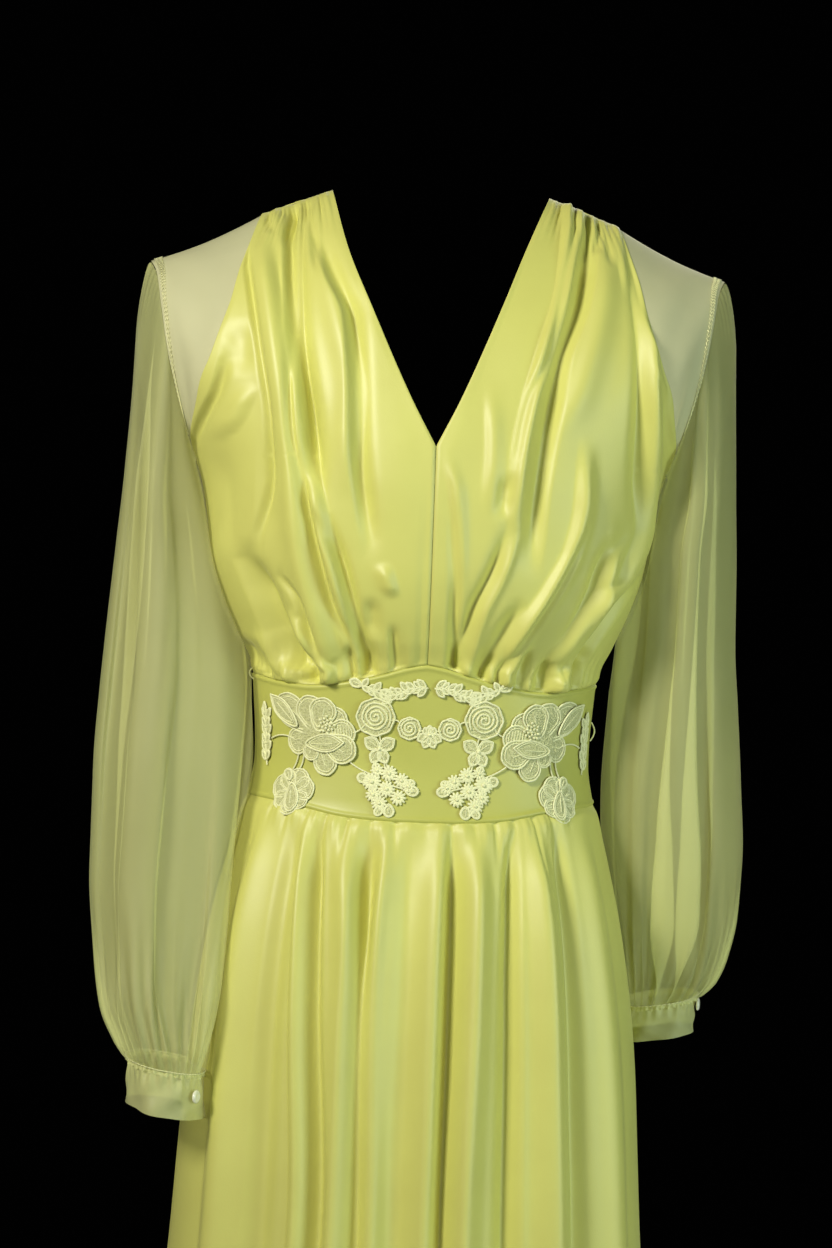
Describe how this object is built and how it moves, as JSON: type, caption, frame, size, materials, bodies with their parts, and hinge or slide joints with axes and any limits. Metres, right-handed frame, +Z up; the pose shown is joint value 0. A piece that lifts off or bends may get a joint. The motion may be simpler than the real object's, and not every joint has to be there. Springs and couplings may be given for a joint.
{
  "type": "chiffon and satin maxi dress",
  "caption": "Floor-length evening dress with V neck, gathered satin bodice and skirt, shaped waist band with corded lace, and sheer bishop sleeves.",
  "frame": {"origin": "midway between the two shoulder seams, level with their neck ends, where the wearer's shoulders hold the dress", "axes": "+Z up, -Y out of the dress's front, +X to the wearer's left"},
  "size_m": [0.4772, 0.3683, 1.4221],
  "materials": {
    "satin": "satin weave, lemon yellow with a soft green cast",
    "chiffon": "sheer plain weave, lemon yellow",
    "yoke chiffon": "sheer plain weave, doubled, pale lemon",
    "lace thread": "corded thread, cream yellow",
    "pearl button": "pearly gloss"
  },
  "bodies": {
    "root": {"band_back_left": "satin", "band_back_right": "satin", "band_front": "satin", "bodice_back_left": "satin", "bodice_back_right": "satin", "bodice_front_left": "satin", "bodice_front_right": "satin", "cuff_button_left": "pearl button", "cuff_button_right": "pearl button", "cuff_left": "chiffon", "cuff_right": "chiffon", "lace_bud_left": "lace thread", "lace_bud_right": "lace thread", "lace_daisies_left": "lace thread", "lace_daisies_right": "lace thread", "lace_fan": "lace thread", "lace_flower_left": "lace thread", "lace_flower_right": "lace thread", "lace_garland_left": "lace thread", "lace_garland_right": "lace thread", "lace_rose_left": "lace thread", "lace_rose_right": "lace thread", "lace_sprig_left": "lace thread", "lace_sprig_right": "lace thread", "lace_trefoil_left": "lace thread", "lace_trefoil_right": "lace thread", "lace_tulip_left": "lace thread", "lace_tulip_right": "lace thread", "skirt_back_left": "satin", "skirt_back_right": "satin", "skirt_front": "satin", "sleeve_left": "chiffon", "sleeve_right": "chiffon", "yoke_left": "yoke chiffon", "yoke_right": "yoke chiffon"}
  },
  "joints": []
}
